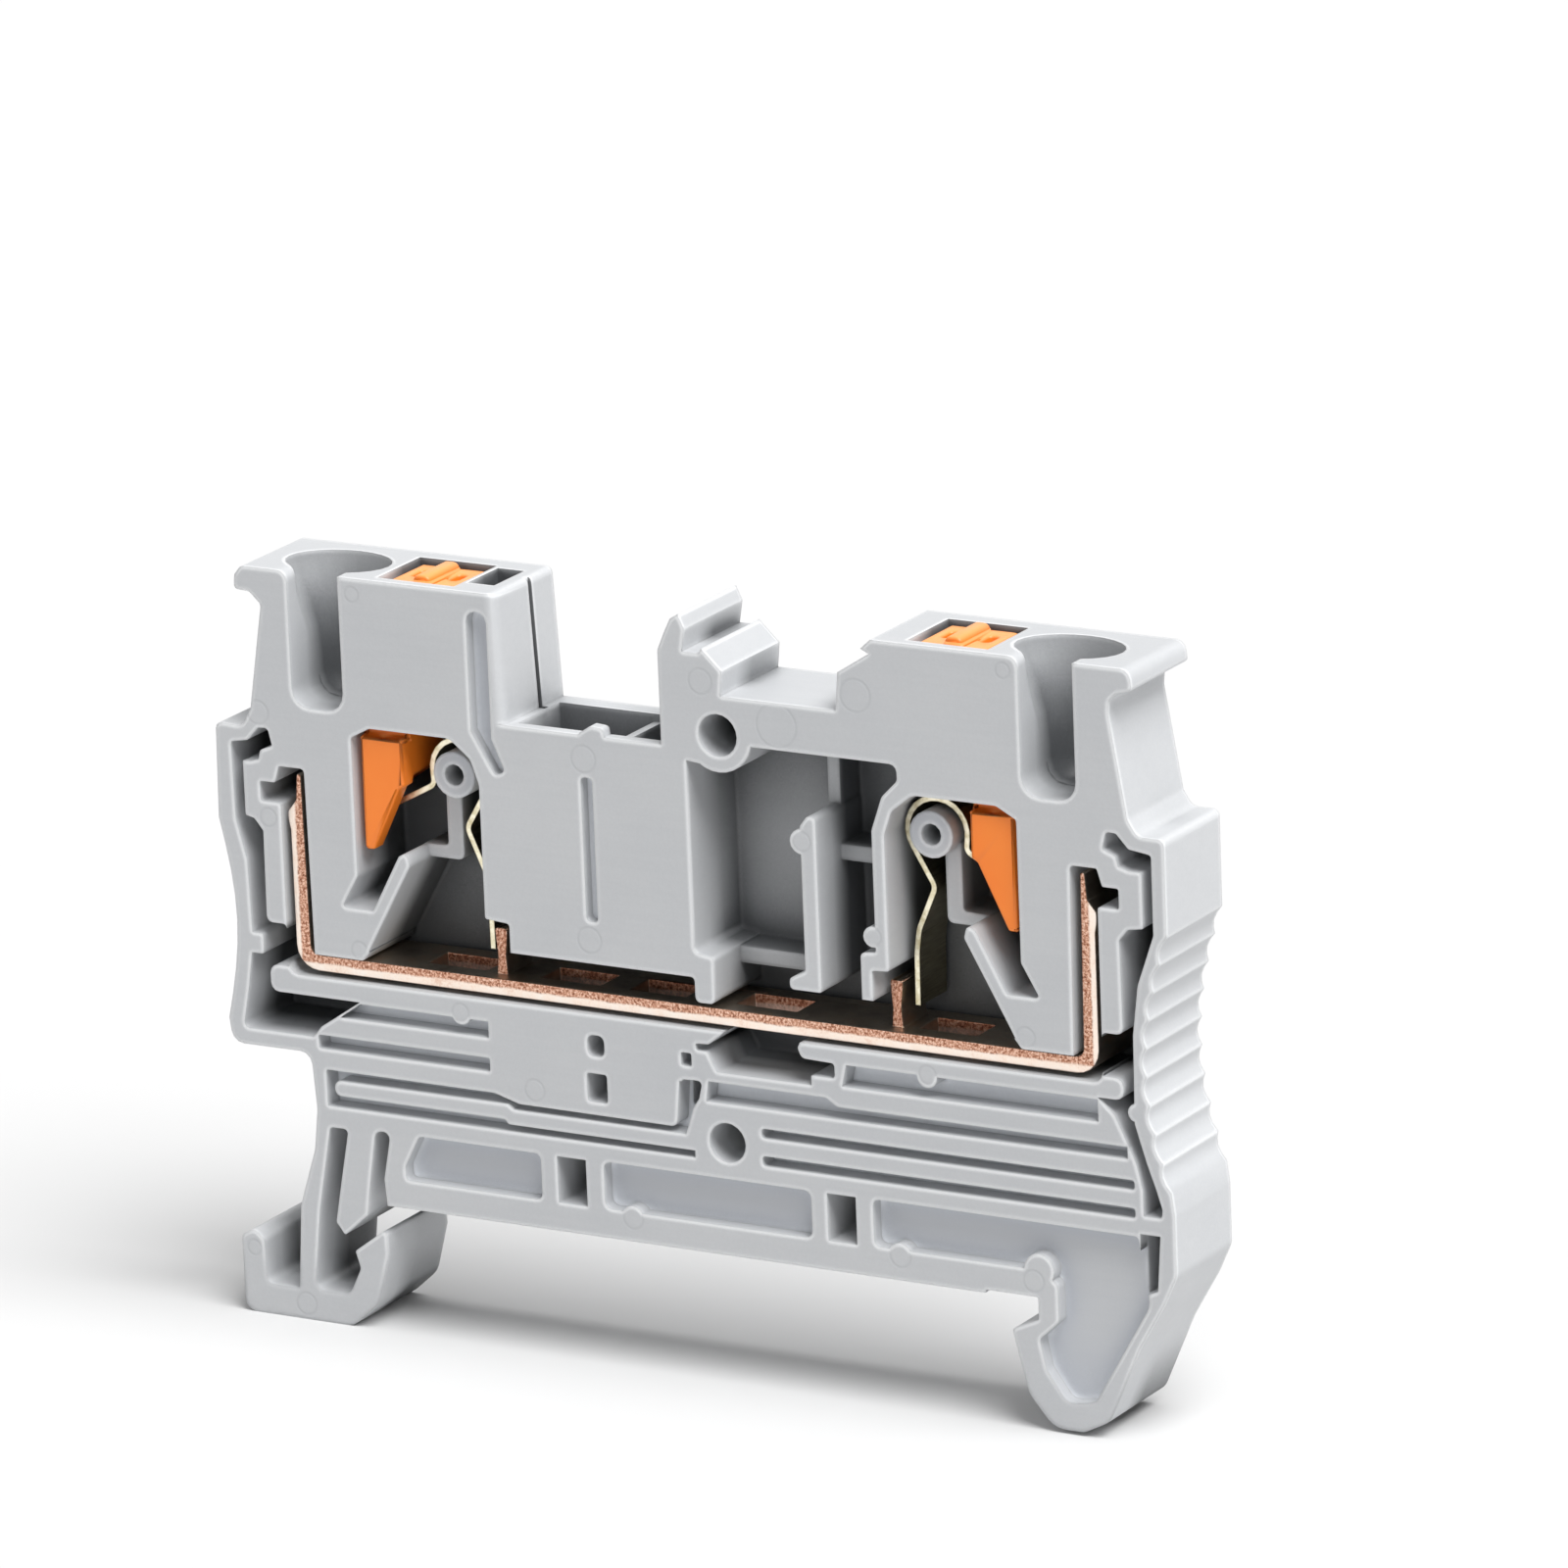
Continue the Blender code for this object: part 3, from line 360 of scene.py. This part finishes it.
def grey_plastic():
    """Pale grey polyamide: fine eroded texture, faint flow marks, ejector pin rings and a painted highlight
    on its open edges.

    The tint also follows depth and openness: painted shade darkens deep pockets and wide shallow window
    floors, and painted light lifts shallow narrow grooves.
    """
    m = Nodes("grey_polyamide")
    place = m.place()
    cloud = m.noise(place, GREY_CLOUD)
    grain = m.noise(place, GREY_GRAIN)
    flow = m.noise(m.place(FLOW_STRETCH), GREY_FLOW)
    rings = pin_marks(m, place)
    streaks = m.noise(m.place(STREAK_STRETCH), GREY_STREAKS)
    rounded = m.soft_edges(EDGE_RADIUS)
    airy = m.openness(OPEN_REACH)
    depth = m.math("SUBTRACT", m.split(place)[1], FRONT)

    tint = m.ramp(cloud, CLOUD_TINTS)
    tint = m.mix(GRAIN_SHARE, tint, m.ramp(grain, GRAIN_TINTS))
    tint = m.mix(STREAK_SHARE, tint, m.ramp(streaks, STREAK_TINTS))
    tint = m.mix(m.times(rings, RING_SHARE), tint, RING_TINT)

    # Painted shade on wide shallow window floors and deep in pockets, painted light on narrow shallow grooves
    shallow = m.times(m.span(depth, SHALLOW_FROM), m.span(depth, SHALLOW_TO))
    shallow = m.times(shallow, m.span(m.facing_side(), FLOOR_FACING))
    tint = m.mix(m.times(shallow, m.span(airy, WINDOW_OPEN)), tint, WINDOW_PAINTED_SHADE)
    tint = m.mix(m.times(shallow, m.span(airy, GROOVE_OPEN)), tint, GROOVE_PAINTED_LIGHT)
    deep = m.times(m.span(depth, DEEP_FROM), m.span(airy, DEEP_OPEN))
    tint = m.mix(deep, tint, m.mix(1.0, tint, DEEP_PAINTED_SHADE, "MULTIPLY"))
    # Painted highlight along rounded edges that lie in the open
    edge = m.times(m.span(m.turned(rounded), EDGE_TURN), m.span(airy, EDGE_OPEN))
    m.link(m.mix(m.times(edge, EDGE_HIGHLIGHT_SHARE), tint, EDGE_PAINTED_HIGHLIGHT), "Base Color")

    m.roughness(flow, swing=0.16, base=0.36)
    m.set(Specular_IOR_Level=0.45)
    fine = m.bump(grain, distance=0.006, strength=0.6, normal=rounded)
    ring = m.bump(m.math("SUBTRACT", 1.0, rings), distance=0.02, strength=0.45, normal=fine)
    m.link(m.bump(flow, distance=0.02, strength=0.35, normal=ring), "Normal")
    return m.material


def orange_plastic():
    """Orange polyamide with a fine grain, and a painted sheen that makes it lighter where it looks up."""
    m = Nodes("orange_polyamide")
    place = m.place()
    cloud = m.noise(place, ORANGE_CLOUD)
    grain = m.noise(place, ORANGE_GRAIN)
    tint = m.ramp(cloud, ORANGE_TINTS)
    normal = m.add("ShaderNodeNewGeometry").outputs["Normal"]
    upwards = m.span(m.split(normal)[2], UPWARD_FACING)
    # Painted sheen: faces that look up are lightened
    m.link(m.mix(m.times(upwards, PAINTED_SHEEN_SHARE), tint, PAINTED_SHEEN_TINT), "Base Color")
    m.roughness(grain, swing=0.12, base=0.34)
    m.set(Specular_IOR_Level=0.5)
    m.link(m.bump(grain, distance=0.004, strength=0.5), "Normal")
    return m.material


def bar_metal():
    """Tinned copper strip: dull tin on its faces, sheared copper edges, smooth outside and torn inside, with
    painted shade on the walls of its holes.
    """
    m = Nodes("tinned_copper")
    place = m.place()
    x, y, z = m.split(place)

    # Distance in from the strip's outer face, and the way along it, on its flat run and its upright ends
    up = m.math("SUBTRACT", z, BAR_LOW)
    out = m.math("SUBTRACT", BAR_REACH, m.math("ABSOLUTE", x))
    across = m.math("MINIMUM", up, out)
    upright = m.math("GREATER_THAN", up, out)
    flat = m.math("SUBTRACT", 1.0, upright)
    along = m.math("ADD", m.times(upright, z), m.times(flat, x))
    squeezed = m.times(across, STREAK_SQUEEZE)
    strip = m.add("ShaderNodeCombineXYZ", {"X": along, "Y": squeezed, "Z": y}).outputs[0]
    streak = m.noise(strip, BAR_STREAK)
    drift = m.noise(strip, BAR_DRIFT)
    speck = m.noise(place, BAR_SPECK)

    torn = m.ramp(streak, TORN_TINTS)
    blend = m.math("ADD", m.times(streak, SMOOTH_STREAK), m.times(drift, SMOOTH_DRIFT))
    smooth = m.ramp(blend, SMOOTH_TINTS)
    wander = m.math("ADD", across, m.times(m.math("SUBTRACT", drift, 0.5), TORN_WANDER))
    cut = m.mix(m.span(wander, TORN_FROM), smooth, torn)
    # Painted shade on the cut faces that lie deeper in, the walls of its holes
    painted_hole_shade = m.span(y, (FRONT + HOLE_FROM, FRONT + HOLE_TO), (0.0, HOLE_SHADE_SHARE))
    cut = m.mix(painted_hole_shade, cut, m.mix(1.0, torn, HOLE_PAINTED_SHADE, "MULTIPLY"))
    outline = m.span(across, (0.0, OUTLINE_WIDTH), FALLING)
    cut = m.mix(m.times(outline, OUTLINE_SHARE), cut, OUTLINE_TINT)

    tin = m.ramp(m.noise(place, BAR_CLOUD), TIN_TINTS)
    tin = m.mix(m.times(m.span(speck, SPECK_FROM), SPECK_SHARE), tin, SPECK_TINT)
    edge = m.span(m.facing_side(), CUT_FACING)
    m.link(m.mix(edge, tin, cut), "Base Color")
    m.roughness(speck, swing=0.35, base=0.20)
    m.set(Metallic=1.0)
    rough = m.bump(m.times(streak, edge), distance=0.05, strength=0.7)
    m.link(m.bump(speck, distance=0.012, strength=0.5, normal=rough), "Normal")
    return m.material


def spring_steel():
    """Rolled stainless strip: brushed along its length, with bright cut edges; dark faces and bright edges
    are partly their finish and partly painted shade and painted highlight, and the rounded rim carries
    painted shade.
    """
    m = Nodes("spring_steel")
    # Faces darker and cut edges brighter by facing: partly the finish, partly painted shade and painted
    # highlight
    edge = m.span(m.facing_side(), CUT_FACING)
    brush = m.noise(m.place(BRUSH_STRETCH), BRUSH)
    face = m.ramp(brush, FACE_TINTS_AND_SHADE)
    cut = m.ramp(m.noise(m.place(), CUT_CLOUD), CUT_TINTS_AND_HIGHLIGHT)
    # Painted shade along the rounded rim of the cut edges
    rim = m.span(m.turned(m.soft_edges(SPRING_EDGE)), RIM_TURN)
    cut = m.mix(m.times(rim, RIM_SHADE_SHARE), cut, RIM_PAINTED_SHADE)
    m.link(m.mix(edge, face, cut), "Base Color")
    m.roughness(brush, swing=0.2, base=0.22)
    m.set(Metallic=1.0)
    m.link(m.bump(brush, distance=0.004, strength=0.5), "Normal")
    return m.material


def weld(item, distance):
    """Joins a piece's corners that lie together."""
    joined = item.modifiers.new("weld", "WELD")
    joined.merge_threshold = distance


def even_normals(item):
    """Smooth shading that follows a piece's large faces; gives the modifier that does it."""
    smooth = item.modifiers.new("normals", "WEIGHTED_NORMAL")
    smooth.keep_sharp = False
    item.data.shade_smooth()
    return smooth


def moulded_edges(item, width):
    """Rounds the sharp edges of a piece by a small radius."""
    weld(item, MERGE)
    bevel = item.modifiers.new("edges", "BEVEL")
    bevel.width = width * MM
    bevel.segments = BEVEL_STEPS
    bevel.limit_method = "ANGLE"
    bevel.angle_limit = math.radians(BEVEL_ANGLE)
    bevel.use_clamp_overlap = False
    bevel.loop_slide = False
    bevel.harden_normals = False
    bevel.miter_outer = "MITER_ARC"
    even_normals(item).weight = BEVEL_WEIGHT


def curved_normals(item):
    """Smooth shading over a piece's curves, with its sharp edges kept."""
    weld(item, HOUSING_MERGE)
    split = item.modifiers.new("sharp", "EDGE_SPLIT")
    split.split_angle = math.radians(HOUSING_ANGLE)
    split.use_edge_sharp = False
    even_normals(item)


def bent_spring(name, sign, material):
    """The strip, cut more finely across the stretch of its clamp leg that bends when the pusher goes down."""
    bm = bmesh.new()
    bm.from_mesh(nodes[name].data)
    bmesh.ops.remove_doubles(bm, verts=bm.verts, dist=MERGE)
    for k in range(LEG_CUTS):
        x = sign * (LEG_FROM + (LEG_TO - LEG_FROM) * k / (LEG_CUTS - 1)) * MM
        whole = list(bm.verts) + list(bm.edges) + list(bm.faces)
        bmesh.ops.bisect_plane(bm, geom=whole, plane_co=(x, 0, 0), plane_no=(1, 0, 0), dist=CUT_MERGE)
    mesh = bpy.data.meshes.new(name + "_strip")
    bm.to_mesh(mesh)
    bm.free()
    mesh.materials.append(material)
    # Normals that came with the uncut strip don't fit the new faces
    if "custom_normal" in mesh.attributes:
        mesh.attributes.remove(mesh.attributes["custom_normal"])
    mesh.shade_smooth()
    mesh.set_sharp_from_angle(angle=math.radians(STRIP_ANGLE))
    strip = bpy.data.objects.new(name + "_strip", mesh)
    bpy.context.scene.collection.objects.link(strip)
    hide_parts(name)
    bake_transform(strip)


def dress(name, material):
    """Gives a piece of the CAD model its material."""
    item = nodes[name]
    item.data.materials.clear()
    item.data.materials.append(material)
    return item


def studio():
    """Pale floor under the feet, white surroundings, one wide soft light from the upper right."""
    low = cad_box[0][2]
    far = FLOOR_REACH * MM
    mesh = bpy.data.meshes.new("floor")
    corners = [(-far, -far, low), (far, -far, low), (far, far, low), (-far, far, low)]
    mesh.from_pydata(corners, [], [(0, 1, 2, 3)])
    floor = bpy.data.objects.new("floor", mesh)
    bpy.context.scene.collection.objects.link(floor)
    paper = Nodes("paper")
    paper.set(Base_Color=(FLOOR_GREY, FLOOR_GREY, FLOOR_GREY, 1.0), Roughness=0.9, Specular_IOR_Level=0.0)
    mesh.materials.append(paper.material)

    # The camera and reflections see white, and the surroundings light the part at their own level
    world = bpy.data.worlds.new("studio")
    world.use_nodes = True
    bpy.context.scene.world = world
    tree = world.node_tree
    back = tree.nodes["Background"]
    path = tree.nodes.new("ShaderNodeLightPath")
    level = tree.nodes.new("ShaderNodeMapRange")
    level.inputs["To Min"].default_value = WORLD_LEVEL
    level.inputs["To Max"].default_value = WHITE_LEVEL
    seen = tree.nodes.new("ShaderNodeMath")
    seen.operation = "MAXIMUM"
    tree.links.new(path.outputs["Is Camera Ray"], seen.inputs[0])
    tree.links.new(path.outputs["Is Glossy Ray"], seen.inputs[1])
    tree.links.new(seen.outputs[0], level.inputs["Value"])
    tree.links.new(level.outputs[0], back.inputs["Strength"])
    back.inputs["Color"].default_value = (1, 1, 1, 1)
    key_lamp()


def key_lamp():
    """Soft light from far away, on the side that KEY_FROM points to."""
    data = bpy.data.lights.new("key", "SUN")
    data.energy = KEY_STRENGTH
    data.angle = math.radians(KEY_SPREAD)
    item = bpy.data.objects.new("key", data)
    item.rotation_euler = Vector(KEY_FROM).to_track_quat("Z", "Y").to_euler()
    bpy.context.scene.collection.objects.link(item)


bpy.context.scene.view_settings.view_transform = "Standard"
camera()
studio()
grey = grey_plastic()
orange = orange_plastic()
copper = bar_metal()
steel = spring_steel()
curved_normals(dress("housing", grey))
moulded_edges(dress("current_bar", copper), BAR_EDGE)
for name in ("pusher_left", "pusher_right"):
    moulded_edges(dress(name, orange), PUSHER_EDGE)
for name, sign in (("spring_left", -1), ("spring_right", 1)):
    bent_spring(name, sign, steel)
